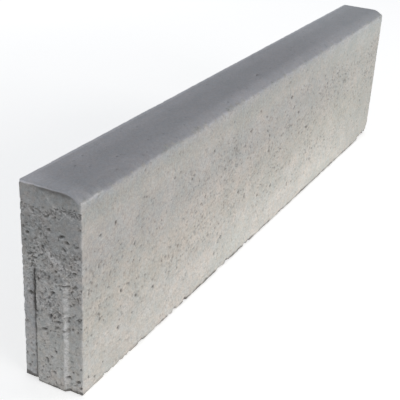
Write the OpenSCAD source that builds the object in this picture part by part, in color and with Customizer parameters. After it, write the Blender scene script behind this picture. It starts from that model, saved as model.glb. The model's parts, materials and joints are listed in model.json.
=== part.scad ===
// Precast concrete kerb stone with one bevelled top edge and a tongue-and-groove end joint.
// Lengths are in millimetres. X runs along the stone, the bevelled face is on -Y, and the
// bed face lies on Z = 0. The origin is the centre of the bed, under the middle of the
// overall length.

/* [Stone] */
// Length between the two end shoulders, without the tongue
stone_length = 1000; // [300:10:1500]
// Height from the bed face to the flat top
stone_height = 250; // [200:5:400]
// Thickness from the bevelled face to the back face
stone_width = 80; // [60:1:150]

/* [Top bevel] */
// How far the bevel reaches across the top
bevel_width = 15; // [6:0.5:25]
// How far the bevel reaches down the face
bevel_height = 8; // [6:0.5:25]

/* [Edges] */
// Radius of the stone's own edges
arris_radius = 2; // [0.5:0.25:4]

/* [End joint] */
// How far the tongue stands out of its end shoulder
tongue_depth = 4; // [3:0.5:12]
// Width of the tongue across its nose
tongue_nose_width = 37; // [20:1:40]
// How far each side of the tongue, and its top, slopes from nose to root
tongue_slope = 4; // [1:0.5:5]
// Height of the tongue above the bed, up to its root
tongue_height = 146; // [60:2:180]
// How far the tongue stands off the middle of the stone, away from the bevelled face
tongue_offset = 0.5; // [-5:0.5:5]
// Radius of the tongue's nose edges
tongue_edge_radius = 1; // [0.25:0.25:1.5]
// Gap all round between the tongue and the groove that takes it
joint_clearance = 1.5; // [0.5:0.25:3]

/* [Hidden] */
// Flat steps that make up the round of one corner
ARC_STEPS = 5;
// How far a joining or cutting solid runs past the face that it meets
OVERRUN = 5;

// The tongue adds to one end only, so the shoulders sit off centre by half its depth.
tongue_shoulder_x = (tongue_depth - stone_length) / 2;
groove_shoulder_x = tongue_shoulder_x + stone_length;

function unit(v) = v / norm(v);
function turned(v, angle) = [v.x * cos(angle) - v.y * sin(angle), v.x * sin(angle) + v.y * cos(angle)];

// Points of the round that replaces corner b of an outline running a, b, c anticlockwise.
function corner_round(a, b, c, r) =
    let (back = unit(a - b), ahead = unit(c - b), half = acos(back * ahead) / 2)
    let (centre = b + unit(back + ahead) * r / sin(half), start = b + back * r / tan(half))
    [for (i = [0 : ARC_STEPS]) centre + turned(start - centre, i * (180 - 2 * half) / ARC_STEPS)];

// A convex outline, anticlockwise, with each corner rounded to radius r.
module rounded_outline(points, r) {
    n = len(points);
    polygon([
        for (i = [0 : n - 1])
            each corner_round(points[(i + n - 1) % n], points[i], points[(i + 1) % n], r)
    ]);
}

// A rectangle's corners, anticlockwise, from its low corner to its high one.
function rectangle(low, high) = [low, [high.x, low.y], high, [low.x, high.y]];

// Cross-section of the stone in [Y, Z]: a rectangle whose front top corner is bevelled.
module section_outline() {
    front = -stone_width / 2;
    back = stone_width / 2;
    rounded_outline([
        [front, 0],
        [back, 0],
        [back, stone_height],
        [front + bevel_width, stone_height],
        [front, stone_height - bevel_height]
    ], arris_radius);
}

// The stone seen from above in [X, Y], between its end shoulders.
module plan_outline() {
    half_width = stone_width / 2;
    rounded_outline(
        rectangle([tongue_shoulder_x, -half_width], [groove_shoulder_x, half_width]), arris_radius);
}

// The stone seen from the front in [X, Z], between its end shoulders.
module side_outline() {
    rounded_outline(
        rectangle([tongue_shoulder_x, 0], [groove_shoulder_x, stone_height]), arris_radius);
}

// The block between the shoulders. Each outline rounds the edges that run square to it.
module block() {
    length = stone_length + 2 * OVERRUN;
    intersection() {
        translate([tongue_shoulder_x - OVERRUN, 0, 0])
            rotate([90, 0, 90]) linear_extrude(length) section_outline();
        translate([0, 0, -OVERRUN])
            linear_extrude(stone_height + 2 * OVERRUN) plan_outline();
        translate([0, stone_width / 2 + OVERRUN, 0])
            rotate([90, 0, 0]) linear_extrude(stone_width + 2 * OVERRUN) side_outline();
    }
}

// The tapered tongue, grown by gap on every side. Its shoulder plane is X = 0, it stands
// out towards -X, its foot is at Z = foot_z, and its root runs root_x into the stone.
module tongue_shape(gap, foot_z, root_x, edge_radius) {
    nose_x = -(tongue_depth + gap);
    half_nose = tongue_nose_width / 2 + gap;
    nose_height = tongue_height - tongue_slope + gap;
    // The slopes run on past the shoulder plane, so that the root meets the stone in full.
    slope = tongue_slope / tongue_depth;
    half_root = half_nose + slope * (root_x - nose_x);
    root_height = nose_height + slope * (root_x - nose_x);
    translate([0, tongue_offset, 0]) intersection() {
        translate([0, 0, foot_z - OVERRUN]) linear_extrude(root_height - foot_z + 2 * OVERRUN)
            rounded_outline([
                [nose_x, -half_nose], [root_x, -half_root], [root_x, half_root], [nose_x, half_nose]
            ], edge_radius);
        translate([0, half_root + OVERRUN, 0]) rotate([90, 0, 0])
            linear_extrude(2 * (half_root + OVERRUN))
            rounded_outline([
                [nose_x, foot_z], [root_x, foot_z], [root_x, root_height], [nose_x, nose_height]
            ], edge_radius);
    }
}

module tongue() {
    translate([tongue_shoulder_x, 0, 0])
        tongue_shape(0, 0, tongue_depth, tongue_edge_radius);
}

// The groove opens through the groove shoulder and through the bed face.
module groove() {
    translate([groove_shoulder_x, 0, 0])
        tongue_shape(joint_clearance, -2 * OVERRUN, OVERRUN, tongue_edge_radius + joint_clearance);
}

module kerb_stone() {
    color([0.72, 0.71, 0.69]) union() {
        difference() {
            block();
            groove();
        }
        tongue();
    }
}

kerb_stone();
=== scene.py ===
"""Concrete kerb stone: the weathered surface of the stone, its concrete and a plain studio stage.

Lengths are in metres. X runs along the stone from its tongue to its groove, the bevelled face is on -Y
and the bed face lies on Z = 0. MM turns millimetres into metres.
"""

import itertools
import json
import math

import bpy
import numpy as np
from mathutils import Matrix, Vector


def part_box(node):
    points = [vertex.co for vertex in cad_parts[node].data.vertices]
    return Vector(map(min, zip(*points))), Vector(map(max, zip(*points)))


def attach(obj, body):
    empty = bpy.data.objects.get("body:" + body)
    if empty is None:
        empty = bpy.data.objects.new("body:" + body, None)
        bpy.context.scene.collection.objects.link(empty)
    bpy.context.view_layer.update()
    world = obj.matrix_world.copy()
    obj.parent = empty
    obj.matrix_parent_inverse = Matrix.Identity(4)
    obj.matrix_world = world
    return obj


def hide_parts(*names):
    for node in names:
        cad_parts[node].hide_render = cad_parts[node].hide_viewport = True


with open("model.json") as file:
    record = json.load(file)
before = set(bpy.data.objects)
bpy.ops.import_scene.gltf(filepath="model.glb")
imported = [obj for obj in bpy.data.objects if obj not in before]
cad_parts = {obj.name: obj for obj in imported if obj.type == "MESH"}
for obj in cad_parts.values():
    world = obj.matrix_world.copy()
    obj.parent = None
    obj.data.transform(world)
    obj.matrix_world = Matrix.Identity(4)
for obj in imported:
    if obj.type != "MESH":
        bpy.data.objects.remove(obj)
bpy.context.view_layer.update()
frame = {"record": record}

bl_info = {
    "name": "Concrete Kerb Stone",
    "version": (1, 0, 0),
    "blender": (4, 5, 0),
    "location": "3D View > Sidebar > Kerb Stone",
    "description": "Makes a weathered precast concrete kerb stone with a bevelled edge and jointed ends",
    "category": "Add Mesh",
}

MM = 0.001
NODE = "kerb_stone"
MOUNTS = {mount["name"]: mount["pos_m"] for mount in frame["record"]["mounts"]}
BOX_LOW, BOX_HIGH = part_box(NODE)

# The block between the two end shoulders. The tongue stands out of it and the groove is cut into it.
BLOCK_LOW = np.array([MOUNTS["tongue_shoulder"][0], BOX_LOW.y, BOX_LOW.z])
BLOCK_HIGH = np.array([MOUNTS["groove_shoulder"][0], BOX_HIGH.y, BOX_HIGH.z])
TONGUE_DEPTH = BLOCK_LOW[0] - BOX_LOW.x
JOINT_Y = MOUNTS["tongue"][1]

# Each side of the block: the axis that it is square to, and which end of that axis it stands at.
SIDES = {
    "tongue_end": (0, 0),
    "groove_end": (0, 1),
    "front": (1, 0),
    "back": (1, 1),
    "bed": (2, 0),
    "top": (2, 1),
}


# ---------------------------------------------------------------------------------------------
# Sizes and colours that a user would change
# ---------------------------------------------------------------------------------------------


def length_property(name, description, default_mm, most_mm):
    """A length of the stone, given in millimetres and kept in metres."""
    return bpy.props.FloatProperty(
        name=name,
        description=description,
        default=default_mm * MM,
        min=0.0,
        max=most_mm * MM,
        precision=5,
        unit="LENGTH",
    )


def colour_property(name, description, default):
    """A linear colour without alpha."""
    return bpy.props.FloatVectorProperty(
        name=name, description=description, default=default, min=0.0, max=1.0, size=3, subtype="COLOR"
    )


def power_property(name, description, default):
    """The power of a lamp."""
    return bpy.props.FloatProperty(name=name, description=description, default=default, min=0.0, unit="POWER")


def setting_names(group):
    """Names of a group's own settings."""
    return [name for name in group.bl_rna.properties.keys() if name not in ("rna_type", "name")]


class StoneShape(bpy.types.PropertyGroup):
    """Sizes of the stone's bevel, joint and wear."""

    bevel_width: length_property("Bevel width", "How far the bevel reaches across the top", 15, 30)
    bevel_height: length_property("Bevel height", "How far the bevel reaches down the face", 8, 30)
    tongue_nose: length_property("Tongue nose", "Width of the tongue across its nose", 37, 60)
    tongue_slope: length_property("Tongue slope", "How far each side of the tongue slopes", 4, 10)
    tongue_height: length_property("Tongue height", "Height of the tongue above the bed", 146, 220)
    joint_clearance: length_property("Joint clearance", "Gap between a tongue and its groove", 1.5, 5)
    bevel_round: length_property("Bevel rounding", "How far the bevel's upper edge is rounded", 6, 12)
    arris_wear: length_property("Arris wear", "Radius that the edges have worn to", 1.7, 6)
    end_roughness: length_property("End roughness", "Depth of the torn texture of the ends", 1.5, 4)
    finest_step: length_property("Finest step", "Spacing of the points on the ends", 0.95, 5)
    triangles: bpy.props.IntProperty(
        name="Triangles",
        description="Most triangles that the stone may have",
        default=196000,
        min=20000,
        max=199000,
    )
    seed: bpy.props.IntProperty(name="Seed", description="Seed of the random wear", default=41, min=0)


class StoneColours(bpy.types.PropertyGroup):
    """Colours of the concrete."""

    core: colour_property("Core", "Light warm concrete of the long faces", (0.442, 0.424, 0.406))
    face_layer: colour_property("Face layer", "Fine concrete below the bevel", (0.369, 0.366, 0.355))
    # Top and bevel: cooler than the long faces, and the bevel darker, partly as finer concrete and partly as
    # painted sky light and shade.
    top: colour_property("Top", "Fine cool concrete of the top", (0.479, 0.482, 0.518))
    bevel: colour_property("Bevel", "Fine concrete of the bevel", (0.354, 0.357, 0.386))
    end: colour_property("End", "Torn concrete of the two ends", (0.366, 0.359, 0.357))
    # Pore: the painted shade at the bottom of pores and pits.
    pore: colour_property("Pore", "Dark bottom of the pores", (0.105, 0.100, 0.095))
    bloom: colour_property("Bloom", "Whitish lime bloom near the bed", (0.640, 0.630, 0.600))
    # Worn: the colour of rubbed edges and fresh grains, also used as painted highlight on lit flanks, pit
    # lips and grain tops.
    worn: colour_property("Worn", "Rubbed edges and fresh grains", (0.655, 0.650, 0.650))
    # Dirt: the colour of the painted contact shadow along the bed.
    dirt: colour_property("Dirt", "Damp dirt along the bed", (0.120, 0.112, 0.104))


class StageLook(bpy.types.PropertyGroup):
    """Floor and lamps of the studio."""

    floor: colour_property("Floor", "Colour of the floor", (0.95, 0.95, 0.95))
    floor_glow: bpy.props.FloatProperty(
        name="Floor glow", description="Light that the floor gives off by itself", default=0.50, min=0.0
    )
    key_power: power_property("Key", "Power of the soft key lamp", 12.6)
    fill_power: power_property("Fill", "Power of the lamp beyond the far end", 15.0)
    back_power: power_property("Back", "Power of the lamp behind the stone", 6.0)
    sky_strength: bpy.props.FloatProperty(
        name="Sky", description="Strength of the even light all round", default=0.40, min=0.0
    )
    lens: bpy.props.FloatProperty(
        name="Lens", description="Focal length of the camera in millimetres", default=78.1, min=10.0
    )


# ---------------------------------------------------------------------------------------------
# Numbers: ruled spacings, soft steps and noise
# ---------------------------------------------------------------------------------------------


def ruled(knots, step_at):
    """Positions from the first knot to the last, one on every knot, spaced by step_at(position)."""
    positions = [knots[0]]
    for start, stop in zip(knots, knots[1:]):
        probe = np.linspace(start, stop, 65)
        per_length = 1 / step_at(probe)
        run = np.concatenate([[0], np.cumsum((per_length[1:] + per_length[:-1]) / 2 * np.diff(probe))])
        count = max(1, round(run[-1]))
        positions.extend(np.interp(np.linspace(0, run[-1], count + 1)[1:], run, probe))
    return np.array(positions)


def soft_step(value, start, stop):
    """0 at start, 1 at stop and smooth between. start may be the larger."""
    share = np.clip((value - start) / (stop - start), 0, 1)
    return share * share * (3 - 2 * share)


def bump_at(value, centre, reach):
    """1 at the centre, falling smoothly to 0 at reach on either side."""
    return soft_step(np.abs(value - centre), reach, 0)


def scramble(cells, seed):
    """A well mixed whole number for each row of whole-number cells."""
    mixed = np.full(len(cells), (seed * 2654435761) & 0xFFFFFFFF, np.uint64)
    for axis, factor in enumerate((73856093, 19349663, 83492791)):
        mixed ^= (cells[:, axis].astype(np.uint64) * np.uint64(factor)) & np.uint64(0xFFFFFFFF)
    for _ in range(2):
        mixed = ((mixed ^ (mixed >> np.uint64(15))) * np.uint64(0x2C1B3C6D)) & np.uint64(0xFFFFFFFF)
        mixed = ((mixed ^ (mixed >> np.uint64(12))) * np.uint64(0x297A2D39)) & np.uint64(0xFFFFFFFF)
    return mixed


def noise(points, seed):
    """Smooth gradient noise, about -1 to 1, with one bump to each unit of length."""
    cells = np.floor(points)
    within = points - cells
    ease = within**3 * (within * (within * 6 - 15) + 10)
    cells = cells.astype(np.int64)
    total = np.zeros(len(points))
    for corner in itertools.product((0, 1), repeat=3):
        mixed = scramble(cells + corner, seed)
        weight = np.ones(len(points))
        slope = np.zeros(len(points))
        for axis in range(3):
            gradient = ((mixed >> np.uint64(10 * axis)) & np.uint64(1023)).astype(float) / 511.5 - 1
            slope += gradient * (within[:, axis] - corner[axis])
            weight *= ease[:, axis] if corner[axis] else 1 - ease[:, axis]
        total += weight * slope
    return total * 1.4


def layered_noise(points, size, layers, seed, fade=0.5):
    """Noise of several layers. The first has bumps of this size, and each next is half as large."""
    total = np.zeros(len(points))
    strength = 1.0
    for layer in range(layers):
        total += strength * noise(points / size + 17.3 * layer, seed + layer)
        size /= 2.03
        strength *= fade
    return total


def grains(points, size, seed):
    """Grains packed at random. How far inside its grain each point is, and the grain's own number, 0 to 1."""
    places = points / size
    cells = np.floor(places).astype(np.int64)
    nearest = np.full(len(points), np.inf)
    second = np.full(len(points), np.inf)
    own = np.zeros(len(points))
    for offset in itertools.product((-1, 0, 1), repeat=3):
        mixed = scramble(cells + offset, seed)
        draws = [((mixed >> np.uint64(10 * axis)) & np.uint64(1023)) / 1023 for axis in range(3)]
        distance = np.linalg.norm(cells + offset + np.stack(draws, 1) - places, axis=1)
        closer = distance < nearest
        second = np.where(closer, nearest, np.minimum(second, distance))
        own = np.where(closer, (mixed % np.uint64(997)) / 997, own)
        nearest = np.minimum(nearest, distance)
    return second - nearest, own


# ---------------------------------------------------------------------------------------------
# The blank: a fine grid of points over the block's six sides
# ---------------------------------------------------------------------------------------------


class Blank:
    """The block's surface as a grid of points that its six sides share along their edges."""

    def __init__(self, shape):
        fine = shape.finest_step
        self.rulings = [self.along_stone(fine), self.across_stone(shape, fine), self.up_stone(shape, fine)]
        counts = [len(ruling) for ruling in self.rulings]
        shell = np.zeros(counts, bool)
        for axis, end in SIDES.values():
            shell[(slice(None),) * axis + (-end,)] = True
        self.index = np.full(counts, -1, np.int64)
        self.index[shell] = np.arange(shell.sum())
        place = np.argwhere(shell)
        self.points = np.stack([self.rulings[axis][place[:, axis]] for axis in range(3)], 1)

    def along_stone(self, fine):
        """Close together at both ends and wider between them."""

        def step(x):
            from_tongue = x - BLOCK_LOW[0]
            from_groove = BLOCK_HIGH[0] - x
            return np.minimum(np.minimum(fine + 0.006 * from_tongue, 2.1 * MM), fine + 0.05 * from_groove)

        return ruled([BLOCK_LOW[0], BLOCK_HIGH[0]], step)

    def across_stone(self, shape, fine):
        """Has a line on the bevel's upper edge and on the foot and the nose of the joint's sides."""
        half_nose = shape.tongue_nose / 2
        half_root = half_nose + shape.tongue_slope
        joint = [JOINT_Y - half_root, JOINT_Y - half_nose, JOINT_Y + half_nose, JOINT_Y + half_root]
        bevel = BLOCK_LOW[1] + shape.bevel_width
        knots = sorted([BLOCK_LOW[1], *joint, bevel, BLOCK_HIGH[1]])
        return ruled(knots, lambda y: np.full_like(y, fine))

    def up_stone(self, shape, fine):
        """Has a line on the foot and the nose of the tongue's top."""
        knots = [0.0, shape.tongue_height - shape.tongue_slope, shape.tongue_height, BLOCK_HIGH[2]]
        return ruled(knots, lambda z: np.full_like(z, fine * 1.15))

    def side(self, name):
        """Point numbers of a side, as a table over its two axes, and the rulings of those axes."""
        axis, end = SIDES[name]
        table = np.take(self.index, -end, axis)
        rulings = [ruling for number, ruling in enumerate(self.rulings) if number != axis]
        return table, rulings

    def quads(self):
        """Four point numbers for each face, turned so that its normal points out of the stone."""
        faces = []
        for name, (axis, end) in SIDES.items():
            table, _ = self.side(name)
            corners = [table[:-1, :-1], table[1:, :-1], table[1:, 1:], table[:-1, 1:]]
            outward = (end == 1) == (axis != 1)
            faces.append(np.stack(corners if outward else corners[::-1], -1).reshape(-1, 4))
        return np.concatenate(faces)


# ---------------------------------------------------------------------------------------------
# Relief: how deep each point lies below the smooth surface
# ---------------------------------------------------------------------------------------------


# The least depth of a pit whose bottom gets the full painted shade.
FULLY_DARK = 1.1 * MM

# The darkest painted shade that a hollow may get. An ordinary deep pore is 1.
DEEPEST = 1.45


class Relief:
    """Depth below one side of the block, on its own grid, its painted shade in hollows, its wear and painted
    highlight, and how torn it is.
    """

    def __init__(self, blank, name, seed):
        self.table, (self.u, self.v) = blank.side(name)
        self.points = blank.points[self.table.ravel()]
        self.depth = np.zeros(self.table.shape)
        self.hollow = np.zeros(self.table.shape)
        self.worn = np.zeros(self.table.shape)
        self.torn = np.zeros(self.table.shape)
        self.seed = seed
        self.random = np.random.default_rng(seed)
        self.ragged = self.noise(2.8 * MM, 3, 5)
        self.u_grid, self.v_grid = np.meshgrid(self.u, self.v, indexing="ij")

    def noise(self, size, layers, salt, fade=0.5):
        """Layered noise over this side."""
        values = layered_noise(self.points, size, layers, self.seed * 31 + salt, fade)
        return values.reshape(self.table.shape)

    def grains(self, size, salt):
        """Packed grains over this side, a little wider than they are tall."""
        inside, own = grains(self.points * (1, 1, 1.2), size, self.seed * 31 + salt)
        return inside.reshape(self.table.shape), own.reshape(self.table.shape)

    def raise_to(self, **kinds):
        """Raises the depth, the painted shade of hollows, the wear and painted highlight, or how torn each
        point is, to at least these values.
        """
        for kind, values in kinds.items():
            setattr(self, kind, np.maximum(getattr(self, kind), values))

    def streak(self, start, stop, width):
        """1 along the line between two places and 0 at this width from it, with ragged edges."""
        along = stop - start
        share = ((self.u_grid - start[0]) * along[0] + (self.v_grid - start[1]) * along[1]) / (along @ along)
        share = np.clip(share, 0, 1)
        aside = np.hypot(self.u_grid - start[0] - share * along[0], self.v_grid - start[1] - share * along[1])
        return soft_step(aside * (1 + 0.5 * self.ragged), width, 0.3 * width)

    def carve(self, u, v, long, wide, deep, tilt=0.0, darkness=1.0, rim=0.0):
        """Cuts a ragged pit and paints shade into it, darker where it is deeper. tilt is the angle of its
        long axis, in degrees from the first axis.

        rim is how strongly a painted highlight lightens the pit's lower edge, where light would catch it.
        """
        reach = max(0.75 * long, 1.4 * wide)
        first_u, last_u = np.searchsorted(self.u, (u - reach, u + reach))
        first_v, last_v = np.searchsorted(self.v, (v - reach, v + reach))
        window = (slice(first_u, last_u), slice(first_v, last_v))
        across_u = self.u_grid[window] - u
        across_v = self.v_grid[window] - v
        turn = math.radians(tilt)
        along = across_u * math.cos(turn) + across_v * math.sin(turn)
        aside = across_v * math.cos(turn) - across_u * math.sin(turn)
        out = (along * 2 / long) ** 2 + (aside * 2 / wide) ** 2
        bowl = np.clip(1 - out * np.clip(1 + 0.75 * self.ragged[window], 0.45, 3), 0, 1) ** 0.6
        lower = (across_u * 2 / long) ** 2 + ((across_v + 0.8 * wide) * 2 / wide) ** 2
        lit = np.clip(1.2 - lower, 0, 1) * (bowl == 0)
        cuts = [
            (self.depth, deep * bowl),
            (self.hollow, darkness * bowl * min(1, deep / FULLY_DARK)),
            (self.worn, rim * lit),
        ]
        for field, values in cuts:
            field[window] = np.maximum(field[window], values)

    def scatter(self, count, sizes, weight, stretch=1.8, share_of_width=0.5, sway=30, rim=0.0):
        """Cuts random pits, more of them where weight is larger. sizes are the least and the most.

        Their long axes lie within about sway degrees of the first axis.
        """
        chance = (weight * np.gradient(self.u)[:, None] * np.gradient(self.v)[None, :]).ravel()
        cells = self.random.choice(len(chance), count, p=chance / chance.sum())
        for cell in cells:
            row, column = divmod(int(cell), len(self.v))
            size = sizes[0] + (sizes[1] - sizes[0]) * self.random.random() ** 2.6
            long = size * (1 + (stretch - 1) * self.random.random() ** 2)
            u = self.u[row] + self.random.normal() * 0.4 * MM
            v = self.v[column] + self.random.normal() * 0.4 * MM
            deep = size * share_of_width * (0.6 + 0.6 * self.random.random())
            self.carve(u, v, long, size, deep, sway * self.random.normal(), rim=rim)


# Voids that stand out on the tongue's end: across, height, length and width (mm).
END_VOIDS = [
    (3, 218, 5, 3),
    (23, 218, 4, 3),
    (3, 201, 6, 3.5),
    (-13, 197, 12, 3.2),
    (-21, 192, 7, 3.5),
    (-16, 183, 6, 3.5),
    (31, 190, 6, 3),
    (12, 178, 5, 3),
    (28, 165, 5, 3),
    (22, 161, 7, 2.5),
    (-30, 157, 6, 3),
    (-5, 152, 4, 3),
    (16, 139, 5, 3),
    (-18, 139, 12, 3),
    (-3, 127, 6, 4),
    (30, 115, 8, 4.5),
    (0, 96, 6, 4),
    (-11, 92, 12, 2.5),
    (-35, 99, 6, 3),
    (19, 96, 6, 3),
    (9, 76, 11, 3),
    (-6, 51, 4, 3),
    (6, 37, 5, 3),
    (-4, 22, 5, 3.5),
    (-21, 20, 5, 4),
    (-27, 28, 3, 2.5),
    (-34, 17, 7, 3.5),
    (-37, 10, 5, 3),
    (-29, 11, 3, 2.5),
]

# How torn the tongue's end is at each height above the bed (mm): calm low down and torn at mid height.
END_ZONES = [
    (0, 0.58),
    (60, 0.46),
    (88, 0.62),
    (100, 1.0),
    (146, 1.0),
    (182, 0.98),
    (200, 0.76),
    (219, 0.70),
    (229, 0.0),
]

# Light rubbed streaks on the tongue's end: start and stop, each across and height, and width (mm).
END_STREAKS = [
    ((3, 238), (-6, 229), 1.2),
    ((-11, 229), (-25, 223), 0.9),
    ((4, 171), (-16, 158), 5.4),
    ((20, 149.5), (8, 149), 1.8),
]

# The seam of open concrete under the face layer, from the back to the front: across and height (mm).
OPEN_SEAM = [(39, 224), (30, 221), (14, 219), (2, 220), (-8, 226), (-16, 229), (-24, 228), (-39, 231)]

# Voids that stand out on the bevelled face: distance from the tongue's shoulder, height, size (mm).
FACE_VOIDS = [
    (65, 195, 5),
    (35, 192, 4),
    (105, 150, 4),
    (195, 200, 4.5),
    (240, 180, 4.5),
    (210, 98, 5),
    (78, 100, 5),
    (110, 77, 5),
    (72, 53, 4.5),
    (150, 68, 4.5),
    (300, 200, 5),
    (415, 190, 6),
    (475, 170, 5),
    (560, 200, 7),
    (640, 125, 8),
    (485, 135, 6),
    (505, 70, 6),
    (385, 105, 5),
    (575, 45, 6),
    (335, 55, 5),
    (12, 20, 3.5),
    (24, 13, 3.5),
]


def long_face_relief(blank, name, seed):
    """The cast long faces: nearly flat, with pores that crowd at mid height and thin out near the top."""
    relief = Relief(blank, name, seed)
    along, height = relief.u_grid - BLOCK_LOW[0], relief.v_grid
    patches = relief.noise(55 * MM, 3, 1)
    crowding = 0.05 + soft_step(height, 15 * MM, 80 * MM) * soft_step(height, 225 * MM, 165 * MM)
    crowding *= 0.45 + 0.55 * soft_step(along, 120 * MM, 420 * MM)
    weight = crowding * np.clip(0.5 + 0.8 * patches, 0.05, 2)
    beyond = soft_step(along, 250 * MM, 600 * MM)
    for part, share, stretch in ((1 - beyond, 0.45, 1.3), (beyond, 0.55, 2.1)):
        relief.scatter(round(2200 * share), (2.4 * MM, 4.6 * MM), weight * part, stretch, 0.15)
        relief.scatter(round(1900 * share), (2.0 * MM, 3.3 * MM), weight * part, stretch, 0.34)
        relief.scatter(round(180 * share), (2.8 * MM, 5.0 * MM), (weight + 0.04) * part, stretch, 0.36)
    relief.scatter(330, (2.4 * MM, 4.2 * MM), weight * beyond, 1.5, 0.36)
    relief.depth += 0.22 * MM * (1 + relief.noise(70 * MM, 3, 2)) + 0.11 * MM * relief.noise(5 * MM, 2, 3)
    return relief


def front_relief(blank, seed):
    """The bevelled face, with the voids that stand out on it."""
    relief = long_face_relief(blank, "front", seed)
    for along, height, size in FACE_VOIDS:
        place = (BLOCK_LOW[0] + along * MM, height * MM)
        tilt = 40 * relief.random.normal()
        relief.carve(*place, 1.2 * size * MM, 0.9 * size * MM, 0.42 * size * MM, tilt, darkness=1.35)
    return relief


def top_relief(blank, seed):
    """The trowelled top and bevel: fine and even, with a few pinholes and one open pit."""
    relief = Relief(blank, "top", seed)
    relief.scatter(260, (1.2 * MM, 2.6 * MM), np.ones(relief.depth.shape), share_of_width=0.3)
    relief.carve(BLOCK_LOW[0] + 480 * MM, -12 * MM, 7 * MM, 3.5 * MM, 1.8 * MM, 10)
    relief.depth += 0.2 * MM * (1 + relief.noise(60 * MM, 3, 2)) + 0.07 * MM * relief.noise(5 * MM, 2, 3)
    return relief


def bed_relief(blank, seed):
    """The bed face, open and pitted all over."""
    relief = Relief(blank, "bed", seed)
    relief.scatter(900, (2.2 * MM, 6 * MM), np.ones(relief.depth.shape), share_of_width=0.4)
    relief.depth += 0.3 * MM * (1 + relief.noise(30 * MM, 3, 2)) + 0.25 * MM * relief.noise(7 * MM, 3, 3)
    return relief


def torn_texture(relief, rough, depth):
    """Crumbly concrete that tore as the mould came off: proud grains, and the gaps that others left. The gaps
    get painted shade, and the proudest grains are lightened partly as fresh grain and partly as painted
    highlight.
    """
    patches = relief.noise(15 * MM, 3, 11)
    for size, deep, share, salt in ((5.6, 1.0, 0.05, 12), (3.2, 0.8, 0.13, 13), (2.1, 0.5, 0.17, 15)):
        inside, own = relief.grains(size * MM, salt)
        ragged_inside = inside + 0.18 * relief.ragged
        missing = soft_step(share * rough * (1 + 1.3 * patches) - own, 0, 0.04)
        gone = missing * soft_step(ragged_inside, 0.04, 0.3)
        proud = own * soft_step(ragged_inside, 0, 0.35)
        relief.depth += depth * deep * (gone + 0.36 * rough * (1 - proud))
        # Painted shade in the gaps; the proudest grains lightened, partly as painted highlight.
        relief.raise_to(hollow=0.85 * gone, worn=0.6 * rough * soft_step(proud, 0.72, 0.92))
    relief.depth += 0.10 * MM * (1 + relief.noise(3 * MM, 2, 14))
    relief.torn = rough * np.clip(0.75 + 0.8 * patches, 0.15, 1.4)


def open_seam(relief, count):
    """A ragged band of small voids and light crumbs under the face layer."""
    across, height = np.array(OPEN_SEAM[::-1]).T * MM
    for _ in range(count):
        u = across[0] + (across[-1] - across[0]) * relief.random.random() ** 1.5
        v = np.interp(u, across, height) + relief.random.normal() * 2.6 * MM
        size = relief.random.uniform(1.1, 2.5) * MM
        long = size * relief.random.uniform(1.1, 2.2)
        relief.carve(u, v, long, size, 0.7 * size, relief.random.uniform(-40, 40), rim=0.7)
    band = bump_at(relief.v_grid, np.interp(relief.u_grid, across, height), 7 * MM)
    busy = soft_step(relief.u_grid, 26 * MM, 4 * MM)
    relief.raise_to(torn=(0.5 + 0.9 * busy) * band)


def tongue_flanks(relief, shape):
    """The tongue's front flank, lightened with painted highlight as if lit, its top edge, lightened partly as
    wear and partly as painted highlight, and the crack at the root of the back flank, darkened with painted
    shadow.
    """
    across, height = relief.u_grid, relief.v_grid
    sway = 0.9 * MM * relief.noise(16 * MM, 2, 22) + 0.5 * MM * relief.noise(5 * MM, 2, 25)
    broken = relief.noise(5 * MM, 3, 23)
    front = JOINT_Y - shape.tongue_nose / 2 - 0.3 * shape.tongue_slope
    whole = soft_step(height, 100 * MM, 70 * MM) + soft_step(height, 128 * MM, 134 * MM)
    below_nose = soft_step(height, shape.tongue_height, shape.tongue_height - shape.tongue_slope)
    # Painted highlight on the front flank, which faces the light.
    lit = np.minimum(1.9 * bump_at(across + sway, front, 2.2 * MM), 1)
    lit *= below_nose * soft_step(height, 4 * MM, 22 * MM)
    relief.raise_to(worn=2.0 * lit * soft_step(broken + 0.55 * whole, -0.15, 0.45))
    half_nose = shape.tongue_nose / 2
    top_edge = bump_at(height + sway, shape.tongue_height - 0.5 * shape.tongue_slope, 3.5 * MM)
    top_edge *= soft_step(np.abs(across - JOINT_Y), half_nose + shape.tongue_slope, half_nose)
    relief.raise_to(worn=0.6 * top_edge * soft_step(broken, -0.5, 0.3))
    # The crack at the back flank's root: carved, and darkened with painted shadow where the tongue shades the
    # shoulder.
    back = JOINT_Y + shape.tongue_nose / 2 + 0.9 * shape.tongue_slope
    upper = soft_step(height, 84 * MM, 104 * MM)
    width = (2.4 + 1.8 * upper) * MM * (1 + 0.6 * broken)
    crack = bump_at(across + sway, back, width) * soft_step(height, 153 * MM, 143 * MM)
    relief.raise_to(depth=2.2 * MM * crack, hollow=np.minimum((1.4 + 1.0 * upper) * crack, DEEPEST))


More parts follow.
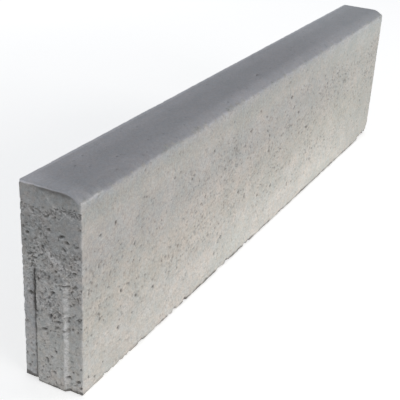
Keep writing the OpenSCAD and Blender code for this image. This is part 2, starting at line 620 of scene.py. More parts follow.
def tongue_end_relief(blank, shape, seed):
    """The end with the tongue: smooth at the top, torn and pitted below it and calmer near the bed."""
    relief = Relief(blank, "tongue_end", seed)
    across, height = relief.u_grid, relief.v_grid
    rough = np.interp(height / MM, *zip(*END_ZONES))
    calm_patch = soft_step(across, 8 * MM, -4 * MM) * bump_at(height, 204 * MM, 26 * MM)
    margins = soft_step(np.abs(across), 22 * MM, 27 * MM) * soft_step(height, 150 * MM, 110 * MM)
    rough *= (1 - 0.8 * calm_patch) * (1 - 0.30 * margins)
    clumps = soft_step(relief.noise(10 * MM, 2, 24), -0.3, 0.5)
    relief.scatter(90, (1.7 * MM, 3.4 * MM), rough * clumps + 0.03, 2.0, 0.60, sway=35, rim=0.6)
    relief.scatter(480, (0.9 * MM, 1.8 * MM), rough * (0.3 + clumps) + 0.14, 1.7, 0.60, sway=45, rim=0.6)
    for u, v, long, wide in END_VOIDS:
        tilt = 25 * relief.random.normal()
        relief.carve(u * MM, v * MM, long * MM, wide * MM, 0.8 * wide * MM, tilt, darkness=1.35, rim=0.7)
    back_corner = soft_step(across, 19 * MM, 27 * MM) * bump_at(height, 192 * MM, 34 * MM)
    torn_texture(relief, rough * (1 - 0.55 * back_corner), shape.end_roughness)
    open_seam(relief, 130)
    for start, stop, width in END_STREAKS:
        relief.raise_to(worn=0.8 * relief.streak(np.array(start) * MM, np.array(stop) * MM, width * MM))
    tongue_flanks(relief, shape)
    # A shallow groove under the top edge, with a soft line of painted shadow just below the edge.
    lip = soft_step(across, -37 * MM, -20 * MM) * soft_step(across, 30 * MM, 14 * MM)
    below = BLOCK_HIGH[2] - height + 0.5 * MM * relief.noise(12 * MM, 2, 21)
    relief.depth += lip * soft_step(below, 0.6 * MM, 3 * MM) * soft_step(below, 13 * MM, 4 * MM) * 0.9 * MM
    # The painted shadow line under the top edge, wider towards the front.
    reach = (2.6 + 1.2 * soft_step(across, 14 * MM, -12 * MM)) * MM
    relief.hollow += 1.12 * lip * np.minimum(1.5 * bump_at(below, 3.6 * MM, reach), 1)
    return relief


def groove_end_relief(blank, shape, seed):
    """The end with the groove, torn and pitted in the same way."""
    relief = Relief(blank, "groove_end", seed)
    rough = soft_step(relief.v_grid, 230 * MM, 214 * MM) * 0.8
    relief.scatter(120, (1.8 * MM, 4.2 * MM), rough + 0.04, 2.0, 0.55, sway=35, rim=0.6)
    relief.scatter(400, (0.9 * MM, 1.8 * MM), rough + 0.14, 1.7, 0.60, sway=45, rim=0.6)
    torn_texture(relief, rough, shape.end_roughness)
    open_seam(relief, 130)
    return relief


def gather_relief(blank, shape):
    """Depth, painted shade of hollows, wear and painted highlight, and torn at every point. Points that sides
    share take the larger value.
    """
    seed = shape.seed
    reliefs = [
        tongue_end_relief(blank, shape, seed + 1),
        groove_end_relief(blank, shape, seed + 2),
        front_relief(blank, seed + 3),
        long_face_relief(blank, "back", seed + 4),
        bed_relief(blank, seed + 5),
        top_relief(blank, seed + 6),
    ]
    gathered = np.zeros((4, len(blank.points)))
    for relief in reliefs:
        for most, values in zip(gathered, (relief.depth, relief.hollow, relief.worn, relief.torn)):
            np.maximum.at(most, relief.table.ravel(), values.ravel())
    return gathered


# ---------------------------------------------------------------------------------------------
# Arrises: worn round and chipped
# ---------------------------------------------------------------------------------------------

# Each arris between two sides: worn radius, chips to each metre, least and most length of a chip (mm).
ARRISES = {
    ("front", "bed"): (2.2, 95, 3, 11),
    ("back", "bed"): (2.2, 70, 3, 11),
    ("front", "top"): (2.6, 60, 3, 8),
    ("back", "top"): (1.4, 24, 2, 5),
    ("tongue_end", "bed"): (1.0, 110, 3, 6),
    ("groove_end", "bed"): (2.0, 130, 3, 8),
    ("tongue_end", "top"): (1.1, 30, 2, 4),
    ("groove_end", "top"): (1.6, 60, 2, 5),
    ("tongue_end", "front"): (1.3, 70, 2, 5),
    ("tongue_end", "back"): (1.4, 170, 3, 8),
    ("groove_end", "front"): (2.0, 30, 2, 5),
    ("groove_end", "back"): (1.8, 80, 2, 6),
}

# Bounds of the worn radius, and how far from an arris its chips may reach.
LEAST_WEAR = 0.5 * MM
MOST_WEAR = 6 * MM
CHIP_ZONE = 12 * MM

# Chips that stand out: the arris, distance along it, length, reach over each side and depth (mm).
BIG_CHIPS = [
    (("front", "bed"), 122, 12, 4, 2.0),
    (("front", "bed"), 209, 10, 7, 2.6),
    (("front", "bed"), 236, 9, 8, 2.6),
    (("front", "bed"), 361, 11, 8, 2.6),
    (("front", "bed"), 423, 10, 6, 2.4),
    (("front", "bed"), 951, 22, 9, 5.4),
    (("front", "bed"), 968, 34, 9, 5.4),
    (("front", "bed"), 988, 34, 9, 5.8),
    (("front", "top"), 127, 12, 5, 1.6),
    (("groove_end", "front"), 2, 30, 10, 6.0),
]


def inward_distance(points, side):
    """Distance of each point from a side's plane, into the block."""
    axis, end = SIDES[side]
    return BLOCK_HIGH[axis] - points[:, axis] if end else points[:, axis] - BLOCK_LOW[axis]


def arris_distance(points, pair):
    """How far each point lies from the arris of two sides: the larger of its distances from their planes."""
    return np.maximum(*(inward_distance(points, side) for side in pair))


def free_axis(pair):
    """The axis that an arris runs along."""
    return ({0, 1, 2} - {SIDES[side][0] for side in pair}).pop()


def wear_radius(points, shape):
    """Radius to which the nearest arris is rounded by wear, at each point."""
    wander = layered_noise(points, 11 * MM, 3, shape.seed + 71)
    radius = np.full(len(points), shape.arris_wear)
    for pair, (worn, *_) in ARRISES.items():
        near = soft_step(arris_distance(points, pair), 9 * MM, 4 * MM)
        radius += near * (worn * MM - shape.arris_wear)
    return np.clip(radius * (1 + 0.55 * wander), LEAST_WEAR, MOST_WEAR)


def rubbed_and_lit_arrises(points, shape):
    """How much the arrises above the bed are lightened at each point, partly as wear and partly as painted
    highlight along the edges.
    """
    broken = layered_noise(points, 16 * MM, 3, shape.seed + 75)
    near_tongue = 0.35 + 0.65 * soft_step(points[:, 0] - BLOCK_LOW[0], 100 * MM, 45 * MM)
    rubbed_and_lit = np.zeros(len(points))
    for pair in ARRISES:
        if "bed" not in pair:
            strength = {("front", "top"): near_tongue, ("tongue_end", "top"): 0.2}.get(pair, 0.7)
            near = soft_step(arris_distance(points, pair), 3.2 * MM, 0.8 * MM)
            rubbed_and_lit = np.maximum(rubbed_and_lit, strength * near)
    return rubbed_and_lit * soft_step(broken, -0.35, 0.55)


def chip_depths(points, shape):
    """How deep the chips along the arrises cut at each point."""
    random = np.random.default_rng(shape.seed + 72)
    ragged = layered_noise(points, 3.5 * MM, 2, shape.seed + 73)
    depth = np.zeros(len(points))
    for pair, (_, per_metre, least, most) in ARRISES.items():
        axis = free_axis(pair)
        near = arris_distance(points, pair)
        chosen = np.flatnonzero(near < CHIP_ZONE)
        along = points[chosen, axis] - BLOCK_LOW[axis]
        out = near[chosen]
        span = BLOCK_HIGH[axis] - BLOCK_LOW[axis]
        chips = [
            (place * MM, long * MM, reach * MM, deep * MM)
            for chipped, place, long, reach, deep in BIG_CHIPS
            if chipped == pair
        ]
        for _ in range(round(per_metre * span)):
            long = (least + (most - least) * random.random() ** 2.2) * MM
            chips.append((random.uniform(0, span), long, long * random.uniform(0.25, 0.5), long * 0.22))
        for place, long, reach, deep in chips:
            distance = (2 * (along - place) / long) ** 2 + (out / reach) ** 2
            bowl = np.clip(1 - distance * (1 + 0.5 * ragged[chosen]), 0, 1) ** 0.7
            depth[chosen] = np.maximum(depth[chosen], deep * bowl)
    return depth


def round_arrises(points, radius):
    """The points moved onto the rounded block, and the outward normal there."""
    inner = np.clip(points, BLOCK_LOW + radius[:, None], BLOCK_HIGH - radius[:, None])
    normal = points - inner
    normal /= np.linalg.norm(normal, axis=1)[:, None]
    return inner + normal * radius[:, None], normal


# ---------------------------------------------------------------------------------------------
# The whole stone
# ---------------------------------------------------------------------------------------------


# How far in from an end the points move to make its joint, and how far below the top they move for the bevel.
JOINT_ZONE = 12 * MM
BEVEL_ZONE = 60 * MM


def bevel_drop(places, y, shape):
    """How far the bevel lies below the flat top. Its upper edge is rounded, and both edges wander."""
    wander = layered_noise(places * (1, 0, 0), 34 * MM, 4, shape.seed + 61, fade=0.62)
    past_edge = BLOCK_LOW[1] + shape.bevel_width * (1 + 0.16 * wander) - y
    rounded = (past_edge + shape.bevel_round) ** 2 / (4 * shape.bevel_round)
    run = np.where(np.abs(past_edge) < shape.bevel_round, rounded, np.maximum(past_edge, 0))
    return run * shape.bevel_height / shape.bevel_width


def joint_profile(y, z, half_nose, nose_height, slope, depth):
    """How far the tongue stands out, or the groove cuts in, at a point of an end."""
    run = slope * depth
    from_side = (half_nose + run - np.abs(y - JOINT_Y)) / run
    from_top = (nose_height + run - z) / run
    return depth * np.clip(np.minimum(from_side, from_top), 0, 1)


def shift_ends(points, shape):
    """How far each point moves along X to make the tongue and the groove."""
    slope = shape.tongue_slope / TONGUE_DEPTH
    wobble = 0.5 * MM * layered_noise(points, 12 * MM, 3, shape.seed + 81)
    y = points[:, 1] + wobble
    z = points[:, 2] + 2 * wobble
    nose_height = shape.tongue_height - shape.tongue_slope
    tongue = joint_profile(y, z, shape.tongue_nose / 2, nose_height, slope, TONGUE_DEPTH)
    clearance = shape.joint_clearance
    groove = joint_profile(
        y, z, shape.tongue_nose / 2 + clearance, nose_height + clearance, slope, TONGUE_DEPTH + clearance
    )
    near_tongue = soft_step(points[:, 0] - BLOCK_LOW[0], JOINT_ZONE, 0)
    near_groove = soft_step(BLOCK_HIGH[0] - points[:, 0], JOINT_ZONE, 0)
    return -tongue * near_tongue - groove * near_groove


def stone_points(blank, shape):
    """Every point of the weathered stone, and its painted shade in hollows, its wear and painted highlight,
    and how torn it is there.
    """
    depth, hollow, worn, torn = gather_relief(blank, shape)
    worn = np.maximum(worn, 0.7 * rubbed_and_lit_arrises(blank.points, shape))
    chips = chip_depths(blank.points, shape)
    rounded, normal = round_arrises(blank.points, wear_radius(blank.points, shape))
    placed = rounded - normal * np.maximum(depth, chips)[:, None]
    placed[:, 0] += shift_ends(blank.points, shape)
    upper = np.clip((placed[:, 2] - (BLOCK_HIGH[2] - BEVEL_ZONE)) / BEVEL_ZONE, 0, 1)
    placed[:, 2] -= upper * bevel_drop(blank.points, placed[:, 1], shape)
    # Painted shade in the chips along the bed.
    near_bed = soft_step(blank.points[:, 2], 12 * MM, 6 * MM)
    hollow = np.maximum(hollow, near_bed * np.clip(chips / (2 * MM), 0, 0.8))
    tones = {"hollow": np.clip(hollow, 0, DEEPEST), "worn": np.clip(worn, 0, 1), "torn": torn}
    return np.clip(placed, np.array(BOX_LOW), np.array(BOX_HIGH)), tones


def mesh_from(name, points, faces):
    """A mesh of quads from point places and point numbers."""
    mesh = bpy.data.meshes.new(name)
    mesh.vertices.add(len(points))
    mesh.vertices.foreach_set("co", points.astype(np.float32).ravel())
    mesh.loops.add(faces.size)
    mesh.loops.foreach_set("vertex_index", faces.astype(np.int32).ravel())
    mesh.polygons.add(len(faces))
    mesh.polygons.foreach_set("loop_start", np.arange(0, faces.size, 4, dtype=np.int32))
    mesh.update(calc_edges=True)
    mesh.validate()
    return mesh


def keep_tones(mesh, tones):
    """Keeps each point's painted shade in hollows, its wear and painted highlight, and how torn it is, for
    the concrete to read.
    """
    for name, values in tones.items():
        attribute = mesh.attributes.new(name, "FLOAT", "POINT")
        attribute.data.foreach_set("value", values.astype(np.float32))


def thin_out(stone, most_triangles):
    """Collapses the flattest faces until the stone has no more than this many triangles."""
    modifier = stone.modifiers.new("Thin out", "DECIMATE")
    modifier.ratio = most_triangles / (2 * len(stone.data.polygons))
    modifier.use_collapse_triangulate = True
    bpy.context.view_layer.objects.active = stone
    bpy.ops.object.modifier_apply(modifier=modifier.name)
    points = np.empty(3 * len(stone.data.vertices), np.float32)
    stone.data.vertices.foreach_get("co", points)
    points = np.clip(points.reshape(-1, 3), np.array(BOX_LOW), np.array(BOX_HIGH))
    stone.data.vertices.foreach_set("co", points.astype(np.float32).ravel())
    stone.data.update()


# ---------------------------------------------------------------------------------------------
# Concrete
# ---------------------------------------------------------------------------------------------


class Nodes:
    """Adds nodes to a material and links them."""

    def __init__(self, material):
        self.tree = material.node_tree

    def add(self, kind, links=(), **settings):
        """A node with its settings, and links from (socket name or number, output) pairs."""
        node = self.tree.nodes.new(kind)
        for name, value in settings.items():
            setattr(node, name, value)
        for socket, source in dict(links).items():
            self.set(node.inputs[socket], source)
        return node

    def set(self, socket, source):
        """Links a socket to an output, or gives it a value."""
        if isinstance(source, bpy.types.NodeSocket):
            self.tree.links.new(source, socket)
        elif isinstance(source, (tuple, list)) and socket.type == "RGBA":
            socket.default_value = (*source[:3], 1)
        else:
            socket.default_value = source

    def math(self, operation, *values, clamp=False):
        """The result of a math node."""
        node = self.add("ShaderNodeMath", operation=operation, use_clamp=clamp)
        for socket, value in zip(node.inputs, values):
            self.set(socket, value)
        return node.outputs[0]

    def ramp(self, value, start, stop, low=0.0, high=1.0):
        """value from start to stop, made to run smoothly from low to high."""
        node = self.add(
            "ShaderNodeMapRange",
            {"Value": value, "From Min": start, "From Max": stop, "To Min": low, "To Max": high},
            interpolation_type="SMOOTHSTEP",
        )
        return node.outputs[0]

    def mix(self, share, first, second, blend="MIX"):
        """Two colours mixed."""
        node = self.add("ShaderNodeMix", data_type="RGBA", blend_type=blend)
        self.set(node.inputs[0], share)
        self.set(node.inputs[6], first)
        self.set(node.inputs[7], second)
        return node.outputs[2]

    def tinted(self, colour, tint, share=1.0):
        """A colour multiplied by another, in this share."""
        return self.mix(share, colour, tint, "MULTIPLY")

    def times(self, value, *others):
        """The product of several values."""
        for other in others:
            value = self.math("MULTIPLY", value, other)
        return value

    def noise(self, place, size, detail=3.0, roughness=0.55, offset=0.0):
        """Noise about 0.5, with bumps of this size in metres."""
        moved = place
        if offset:
            moved = self.add("ShaderNodeVectorMath", {0: place, 1: (offset, offset, offset)}).outputs[0]
        node = self.add(
            "ShaderNodeTexNoise",
            {"Vector": moved, "Scale": 1 / size, "Detail": detail, "Roughness": roughness},
        )
        return node.outputs["Fac"]

    def pores(self, place, spacing, widest, share):
        """Small round pores in this share of the cells of a loose grid, each with its own width."""
        cells = self.add("ShaderNodeTexVoronoi", {"Vector": place, "Scale": 1 / spacing})
        draw = self.add("ShaderNodeSeparateColor", {0: cells.outputs["Color"]})
        width = self.times(draw.outputs[0], widest / spacing)
        inside = self.ramp(cells.outputs["Distance"], width, self.times(width, 0.45))
        return self.times(inside, self.math("LESS_THAN", draw.outputs[1], share))


def scaled(colour, factors):
    """A colour with its red, green and blue multiplied."""
    return tuple(value * factor for value, factor in zip(colour, factors))


# How the concrete changes over the stone. Each change is a product of smooth runs: the measure that a run
# goes by, the places where it starts and stops (mm) and its values there. x and y are measured from the
# middle of the stone and z from its bed. swayed_z is z with a small random sway.
SPREADS = {
    "beyond the middle": [("x", 0, 420, 0.0, 1.0)],
    "face layer": [("swayed_z", 190, 228, 0.0, 1.0)],
    "next to the tongue": [("x", -420, -180, 0.968, 1.0)],
    "upper body": [
        ("swayed_z", 140, 166, 0.0, 1.0),
        ("swayed_z", 212, 196, 0.0, 1.0),
        ("x", 150, 380, 1.0, 0.2),
    ],
    "middle of the body": [
        ("swayed_z", 55, 90, 0.0, 1.0),
        ("swayed_z", 145, 105, 0.0, 1.0),
        ("x", 330, 470, 1.0, 0.0),
    ],
    "upper end": [("swayed_z", 142, 186, 0.0, 1.0)],
    "pitted end": [("swayed_z", 82, 104, 1.0, 1.15)],
    "end behind the tongue": [("y", 21, 25, 0.0, 1.0), ("z", 150, 120, 0.0, 1.0)],
    "back half of the top": [("y", 6, 30, 0.0, 1.0)],
    "along the top": [("x", 90, 310, 0.966, 1.065)],
    "along the bevel": [("x", -460, -80, 0.905, 1.09)],
    "rim by the tongue": [("from_tongue", 38, 3, 1.0, 1.22)],
    "rim by the back": [("y", 32.5, 38, 1.0, 1.36)],
    "bloom": [("z", 130, 25, 0.0, 1.0), ("x", -300, -40, 0.84, 1.28), ("x", 160, 470, 1.0, 0.28)],
    "pinholes": [("swayed_z", 226, 165, 0.0, 1.0)],
    "dirt on the long faces": [("from_tongue", 60, 180, 0.25, 1.0)],
}

# What the colours are multiplied by where the concrete differs from its own kind: red, green and blue.
TINTS = {
    "beyond the middle": (1.03, 1.05, 1.045),
    "face layer beyond the middle": (1.13, 1.135, 1.15),
    "next to the bevel": (0.99, 1.0, 1.05),
    "upper body": (0.895, 0.912, 0.930),
    "middle of the body": (1.056, 1.047, 1.026),
    # The upper end is darker as painted shade: the lower part of the ends is left lighter as if lit by the
    # floor.
    "upper end": (0.708, 0.722, 0.733),
    "end behind the tongue": (0.975, 0.985, 1.02),
    "rest of the top": (0.88, 0.88, 0.88),
}

# Faint patches and small flecks: the noise values between which they turn, the cool tint and the warm one.
PATCH_TINTS = (0.40, 0.60), (0.990, 1.003, 0.993), (1.016, 0.998, 0.987)
FLECK_TINTS = (0.38, 0.62), (0.978, 1.004, 1.016), (1.026, 0.998, 0.970)


class ConcreteNodes(Nodes):
    """The parts of the concrete's material: where each kind lies, its colours, its pores and its grain."""

    def __init__(self, material, shape, colours):
        super().__init__(material)
        self.shape = shape
        self.colours = {name: tuple(getattr(colours, name)) for name in setting_names(colours)}
        self.place = self.add("ShaderNodeTexCoord").outputs["Object"]
        self.drawn = self.stretched((0.8, 1, 1))
        self.x, self.y, self.z = self.add("ShaderNodeSeparateXYZ", {0: self.place}).outputs
        self.from_tongue = self.math("SUBTRACT", self.x, float(BLOCK_LOW[0]))
        self.bevel_foot = float(BLOCK_HIGH[2]) - shape.bevel_height
        self.tones = {
            name: self.add("ShaderNodeAttribute", attribute_name=name).outputs["Fac"]
            for name in ("hollow", "worn", "torn")
        }
        self.broad = self.noise(self.drawn, 90 * MM, 3.0)
        self.middle = self.noise(self.drawn, 26 * MM, 4.0, 0.6, 3.1)
        self.small = self.noise(self.place, 3.4 * MM, 4.0, 0.65, 7.7)
        self.sand = self.noise(self.place, 1.3 * MM, 3.0, 0.7, 1.3)
        self.sway = self.math("SUBTRACT", self.noise(self.place, 26 * MM, 5.0, 0.65, 5.2), 0.5)
        self.swayed_z = self.math("MULTIPLY_ADD", self.sway, 14 * MM, self.z)
        self.ragged = self.math("SUBTRACT", self.noise(self.place, 15 * MM, 6.0, 0.72, 6.6), 0.5)
        self.beyond = self.spread("beyond the middle")

    def spread(self, name):
        """The value of one of the changes over the stone."""
        runs = [
            self.ramp(getattr(self, measure), start * MM, stop * MM, low, high)
            for measure, start, stop, low, high in SPREADS[name]
        ]
        return self.times(*runs)

    def stretched(self, factors):
        """Places scaled along each axis, so that what is drawn on them comes out longer where it is small."""
        node = self.add("ShaderNodeVectorMath", {0: self.place, 1: factors}, operation="MULTIPLY")
        return node.outputs[0]

    def top_skin(self):
        """1 on the top and the bevel, with a ragged border along the bevel's lower edge."""
        slope = self.shape.bevel_height / self.shape.bevel_width
        from_front = self.math("SUBTRACT", self.y, float(BLOCK_LOW[1]))
        bevel = self.math("MULTIPLY_ADD", from_front, slope, self.bevel_foot)
        below_top = self.math("SUBTRACT", self.math("MINIMUM", bevel, float(BLOCK_HIGH[2])), self.z)
        skin = self.ramp(self.math("MULTIPLY_ADD", self.ragged, 6 * MM, below_top), 3.4 * MM, 1.2 * MM)
        below_foot = self.math("SUBTRACT", self.bevel_foot, self.z)
        border = self.ramp(self.math("MULTIPLY_ADD", self.ragged, 32 * MM, below_foot), 1.0 * MM, -0.6 * MM)
        return self.times(skin, border)

    def end_skin(self):
        """1 on the two ends."""
        from_groove = self.math("SUBTRACT", float(BLOCK_HIGH[0]), self.x)
        return self.ramp(self.math("MINIMUM", self.from_tongue, from_groove), 2.4 * MM, 0.6 * MM)

    def body_colour(self):
        """The long faces: warm at mid height, greyer above it, and the finer layer below the bevel."""
        layer = self.colours["face_layer"]
        layer = self.mix(self.beyond, layer, scaled(layer, TINTS["face layer beyond the middle"]))
        colour = self.mix(self.spread("face layer"), self.colours["core"], layer)
        colour = self.tinted(colour, self.spread("next to the tongue"))
        by_bevel = self.ramp(self.z, self.bevel_foot - 16 * MM, self.bevel_foot - 2 * MM)
        colour = self.tinted(colour, TINTS["next to the bevel"], by_bevel)
        for name in ("upper body", "middle of the body"):
            colour = self.tinted(colour, TINTS[name], self.spread(name))
        return colour

    def end_colour(self):
        """The torn ends, darker in their upper part as painted shade, so that the lower part looks lit by the
        floor, and a little paler where the pits are at mid height.
        """
        lower = self.colours["end"]
        colour = self.mix(self.spread("upper end"), lower, scaled(lower, TINTS["upper end"]))
        return self.tinted(colour, self.spread("pitted end"))

    def top_colour(self):
        """The top and bevel, cool, and darker on the bevel, partly as their own fine concrete and partly as
        painted sky light and shade: paler away from the tongue, and on the rims by the tongue and the back.
        """
        flat = self.colours["top"]
        flat = self.mix(self.spread("back half of the top"), scaled(flat, TINTS["rest of the top"]), flat)
        flat = self.tinted(flat, self.spread("along the top"))
        bevel = self.tinted(self.colours["bevel"], self.spread("along the bevel"))
        bevel_head = float(BLOCK_LOW[1]) + self.shape.bevel_width
        on_bevel = self.ramp(self.y, bevel_head + 6 * MM, bevel_head - 6 * MM)
        rims = self.math("MAXIMUM", self.spread("rim by the tongue"), self.spread("rim by the back"))
        return self.tinted(self.mix(on_bevel, flat, bevel), rims)

    def bloom(self):
        """How much lime bloom there is: near the bed, and less of it at both ends of the stone."""
        patches = self.ramp(self.noise(self.drawn, 50 * MM, 4.0, 0.6, 9.9), 0.44, 0.68)
        patchy = self.math("MULTIPLY_ADD", patches, 0.12, 0.465)
        return self.math("MULTIPLY", self.spread("bloom"), patchy, clamp=True)

    def colour(self, top, end):
        """Colours from the largest patches to the finest grains."""
        colour = self.mix(end, self.body_colour(), self.end_colour())
        colour = self.mix(top, colour, self.top_colour())
        colour = self.mix(self.bloom(), colour, self.colours["bloom"])
        colour = self.tinted(colour, TINTS["beyond the middle"], self.beyond)
        mottled = self.math("MULTIPLY_ADD", top, -0.45, 1.0)
        patches = self.math("MULTIPLY_ADD", self.middle, 0.5, self.times(self.broad, 0.5))
        flecks = self.noise(self.place, 7 * MM, 3.0, 0.6, 2.2)
        for spread, (turn, cool, warm) in ((patches, PATCH_TINTS), (flecks, FLECK_TINTS)):
            colour = self.tinted(colour, self.mix(self.ramp(spread, *turn), cool, warm), mottled)
        behind = self.times(self.spread("end behind the tongue"), end)
        colour = self.tinted(colour, TINTS["end behind the tongue"], behind)
        mottling = ((self.broad, 0.03), (self.middle, 0.075), (self.small, 0.13), (self.sand, 0.13))
        for spread, strength in mottling:
            shade = self.ramp(spread, 0.25, 0.75, 1 - strength, 1 + strength)
            colour = self.tinted(colour, shade, mottled)
        # Lightens rubbed edges, and paints highlights on the lit tongue flank, pit lips and grain tops.
        rubbed_and_lit = self.times(self.tones["worn"], self.ramp(self.sand, 0.35, 0.6, 0.4, 0.95))
        return self.mix(rubbed_and_lit, colour, self.colours["worn"])

    def fine_pores(self, top):
        """Pinholes too small to carve. They crowd at mid height and stay off the top."""
        crowd = self.times(self.spread("pinholes"), self.ramp(self.middle, 0.36, 0.60))
        pinholes = self.pores(self.place, 4.6 * MM, 1.9 * MM, 0.40)
        specks = self.pores(self.place, 2.6 * MM, 1.2 * MM, 0.35)
        share = self.times(self.math("ADD", crowd, 0.15), self.math("SUBTRACT", 1.0, top))
        return self.math("MULTIPLY", self.math("MAXIMUM", pinholes, specks), share, clamp=True)

    def faint_marks(self, top):
        """Shallow dimples and stains of a few millimetres, on the long faces and the ends."""
        dimples = self.ramp(self.noise(self.place, 5.6 * MM, 3.5, 0.62, 4.4), 0.53, 0.67)
        crowd = self.ramp(self.middle, 0.36, 0.58, 0.4, 1.0)
        return self.times(dimples, crowd, self.math("SUBTRACT", 1.0, top))

    def tears(self, offset):
        """Specks of the torn concrete, from 0 to 1."""
        specks = self.noise(self.stretched((1.0, 0.8, 1.0)), 2.0 * MM, 2.0, 0.6, offset)
        return self.math("MULTIPLY", self.ramp(specks, 0.54, 0.64), self.tones["torn"], clamp=True)

    def bed_shadow_line(self, end):
        """1 in the line of painted contact shadow along the bed: wider behind the tongue, faint on the long
        faces next to it.
        """
        ragged = self.math("MULTIPLY_ADD", self.ragged, 14 * MM, self.z)
        raised = self.times(end, self.ramp(self.y, 21 * MM, 25 * MM, -1.2 * MM, 3.6 * MM))
        ragged = self.math("SUBTRACT", ragged, raised)
        line = self.ramp(self.math("MULTIPLY_ADD", self.sway, 12 * MM, ragged), 5.5 * MM, 2.2 * MM)
        return self.times(line, self.math("MAXIMUM", end, self.spread("dirt on the long faces")))

    def grain(self, end):
        """Height of the grain that is too fine for the mesh."""
        grain = self.math("MULTIPLY_ADD", self.small, 0.55, self.times(self.sand, 0.5))
        return self.times(grain, self.math("MULTIPLY_ADD", end, 0.9, 0.75))


def concrete_material(shape, colours):
    """Cast concrete: warm long faces, a finer face layer, a cool top, partly painted sky light, and torn
    ends.
    """
    material = bpy.data.materials.new("Cast concrete")
    material.use_nodes = True
    nodes = ConcreteNodes(material, shape, colours)
    shader = nodes.tree.nodes["Principled BSDF"]
    top = nodes.top_skin()
    end = nodes.end_skin()
    fine_pores = nodes.fine_pores(top)
    marks = nodes.faint_marks(top)
    gaps, crumbs = nodes.tears(2.9), nodes.tears(8.3)

    colour = nodes.colour(top, end)
    colour = nodes.mix(nodes.times(crumbs, 0.48), colour, nodes.colours["worn"])
    # Painted shade in carved hollows, pinholes and torn gaps; the faint marks are partly stains and partly
    # painted shade in dimples.
    hollow_shade_and_stains = nodes.times(nodes.tones["hollow"], 0.69)
    for darkness, strength in ((fine_pores, 0.20), (marks, 0.18), (gaps, 0.40)):
        hollow_shade_and_stains = nodes.math("MAXIMUM", hollow_shade_and_stains, nodes.times(darkness, strength))
    colour = nodes.mix(hollow_shade_and_stains, colour, nodes.colours["pore"])
    # Painted contact shadow along the bed line.
    colour = nodes.mix(nodes.times(nodes.bed_shadow_line(end), 0.85), colour, nodes.colours["dirt"])
    nodes.set(shader.inputs["Base Color"], colour)
    nodes.set(shader.inputs["Roughness"], nodes.ramp(nodes.middle, 0.3, 0.7, 0.84, 0.96))
    shader.inputs["Specular IOR Level"].default_value = 0.3

    height = nodes.grain(end)
    for hollow, depth in ((fine_pores, -0.8), (marks, -0.5), (gaps, -1.0), (crumbs, 0.7)):
        height = nodes.math("MULTIPLY_ADD", hollow, depth, height)
    bump = nodes.add("ShaderNodeBump", {"Height": height, "Strength": 0.75, "Distance": 0.8 * MM})
    nodes.set(shader.inputs["Normal"], bump.outputs[0])
    return material


# ---------------------------------------------------------------------------------------------
# Operators
# ---------------------------------------------------------------------------------------------


class KERB_OT_stone(bpy.types.Operator):
    """Make the weathered concrete stone in place of its plain solid"""

    bl_idname = "kerb.stone"
    bl_label = "Kerb stone"

    def execute(self, context):
        shape = context.scene.stone_shape
        blank = Blank(shape)
        points, tones = stone_points(blank, shape)
        mesh = mesh_from("worn_kerb_stone", points, blank.quads())
        if len(mesh.vertices) != len(points):
            raise RuntimeError("the stone's mesh lost points when it was made")
        keep_tones(mesh, tones)
        stone = bpy.data.objects.new("worn_kerb_stone", mesh)
        context.scene.collection.objects.link(stone)
        thin_out(stone, shape.triangles)
        stone.data.shade_smooth()
        stone.data.materials.append(concrete_material(shape, context.scene.stone_colours))
        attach(stone, "root")
        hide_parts(NODE)
        return {"FINISHED"}


# The soft lamps: where each stands, its colour and the setting that holds its power.
LAMPS = {
    "Key": ((-0.85, -2.0, 0.80), (1.0, 0.965, 0.92), "key_power"),
    "Fill": ((1.3, -2.2, 0.90), (1.0, 0.97, 0.93), "fill_power"),
    "Back": ((1.5, 2.0, 0.60), (1.0, 0.98, 0.96), "back_power"),
}
LAMP_SIZE = 1.2
FLOOR_HALF = 30.0
FLOOR_CORNERS = ((-1, -1), (1, -1), (1, 1), (-1, 1))


def aimed(obj, target, roll=0.0):
    """Turns a lamp or the camera towards a point, then rolls it about its own view."""
    toward = (Vector(target) - obj.location).to_track_quat("-Z", "Y").to_matrix()
    obj.rotation_mode = "QUATERNION"
    obj.rotation_quaternion = (toward @ Matrix.Rotation(roll, 3, "Z")).to_quaternion()


def soft_lamp(scene, name, place, target, power, colour):
    """A square area lamp that shines on the target."""
    lamp = bpy.data.lights.new(name, "AREA")
    lamp.shape = "SQUARE"
    lamp.size = LAMP_SIZE
    lamp.energy = power
    lamp.color = colour
    holder = bpy.data.objects.new(name, lamp)
    holder.location = place
    scene.collection.objects.link(holder)
    aimed(holder, target)


def even_sky(scene, strength):
    """Even cool light all round, which the camera sees as white."""
    world = bpy.data.worlds.new("Studio")
    world.use_nodes = True
    nodes = Nodes(world)
    lighting = nodes.tree.nodes["Background"]
    lighting.inputs["Color"].default_value = (0.93, 0.96, 1.0, 1)
    lighting.inputs["Strength"].default_value = strength
    seen = nodes.add("ShaderNodeBackground", {"Color": (1, 1, 1), "Strength": 1.0})
    rays = nodes.add("ShaderNodeLightPath")
    mixed = nodes.add(
        "ShaderNodeMixShader",
        {0: rays.outputs["Is Camera Ray"], 1: lighting.outputs[0], 2: seen.outputs[0]},
    )
    nodes.tree.links.new(mixed.outputs[0], nodes.tree.nodes["World Output"].inputs[0])
    scene.world = world


def pale_floor(scene, colour, glow):
    """A wide matt floor at the level of the bed face."""
    mesh = bpy.data.meshes.new("studio_floor")
    corners = [(across * FLOOR_HALF, along * FLOOR_HALF, 0) for across, along in FLOOR_CORNERS]
    mesh.from_pydata(corners, [], [(0, 1, 2, 3)])
    floor = bpy.data.objects.new("studio_floor", mesh)
    floor.location.z = BOX_LOW.z
    material = bpy.data.materials.new("Pale floor")
    material.use_nodes = True
    shader = material.node_tree.nodes["Principled BSDF"]
    shader.inputs["Base Color"].default_value = (*colour, 1)
    shader.inputs["Roughness"].default_value = 0.9
    shader.inputs["Specular IOR Level"].default_value = 0.1
    shader.inputs["Emission Color"].default_value = (1, 1, 1, 1)
    shader.inputs["Emission Strength"].default_value = glow
    mesh.materials.append(material)
    scene.collection.objects.link(floor)


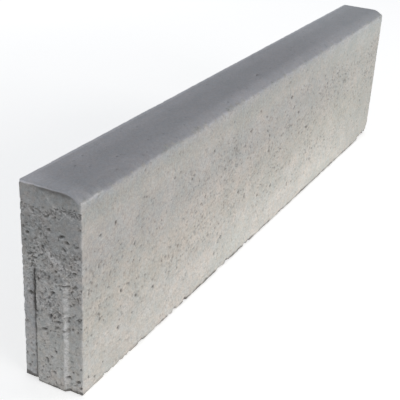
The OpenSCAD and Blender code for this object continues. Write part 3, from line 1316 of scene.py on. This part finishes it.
def studio_camera(scene, lens):
    """Looks down the stone from its tongue end, a little above the top."""
    size = BOX_HIGH - BOX_LOW
    aim = BOX_LOW + Vector((0.267 * size.x, 0, 0.564 * size.z))
    azimuth, elevation, roll = math.radians(-63.2), math.radians(25.9), math.radians(3.37)
    distance = 1.126 * size.x
    level = math.cos(elevation)
    back = Vector((math.sin(azimuth) * level, -math.cos(azimuth) * level, math.sin(elevation)))
    lens_data = bpy.data.cameras.new("Studio camera")
    lens_data.lens = lens
    lens_data.sensor_width = 36.0
    camera = bpy.data.objects.new("Studio camera", lens_data)
    camera.location = aim + back * distance
    aimed(camera, aim, roll)
    scene.collection.objects.link(camera)
    bpy.context.scene.camera = camera


class KERB_OT_stage(bpy.types.Operator):
    """Make the floor, the lamps and the camera"""

    bl_idname = "kerb.stage"
    bl_label = "Stage"

    def execute(self, context):
        scene = context.scene
        look = scene.stage_look
        pale_floor(scene, tuple(look.floor), look.floor_glow)
        even_sky(scene, look.sky_strength)
        middle = (BOX_LOW + BOX_HIGH) / 2
        for name, (place, colour, power) in LAMPS.items():
            soft_lamp(scene, name, place, middle, getattr(look, power), colour)
        scene.view_settings.view_transform = "Standard"
        studio_camera(scene, look.lens)
        return {"FINISHED"}


class KERB_PT_panel(bpy.types.Panel):
    """Lists the steps that make the kerb stone"""

    bl_label = "Kerb Stone"
    bl_idname = "KERB_PT_panel"
    bl_space_type = "VIEW_3D"
    bl_region_type = "UI"
    bl_category = "Kerb Stone"

    def draw(self, context):
        layout = self.layout
        for heading, group, operator in (
            ("Stone", context.scene.stone_shape, KERB_OT_stone),
            ("Concrete", context.scene.stone_colours, None),
            ("Studio", context.scene.stage_look, KERB_OT_stage),
        ):
            box = layout.box()
            box.label(text=heading)
            for name in setting_names(group):
                box.prop(group, name)
            if operator:
                box.operator(operator.bl_idname)


CLASSES = (StoneShape, StoneColours, StageLook, KERB_OT_stone, KERB_OT_stage, KERB_PT_panel)
GROUPS = {"stone_shape": StoneShape, "stone_colours": StoneColours, "stage_look": StageLook}


def register():
    """Registers the classes and gives the scene their settings."""
    for cls in CLASSES:
        bpy.utils.register_class(cls)
    for name, group in GROUPS.items():
        setattr(bpy.types.Scene, name, bpy.props.PointerProperty(type=group))


def unregister():
    """Takes back what register did."""
    for name in GROUPS:
        delattr(bpy.types.Scene, name)
    for cls in reversed(CLASSES):
        bpy.utils.unregister_class(cls)


def main():
    """Makes the stone and its stage."""
    register()
    bpy.ops.kerb.stone()
    bpy.ops.kerb.stage()


if __name__ == "__main__":
    main()
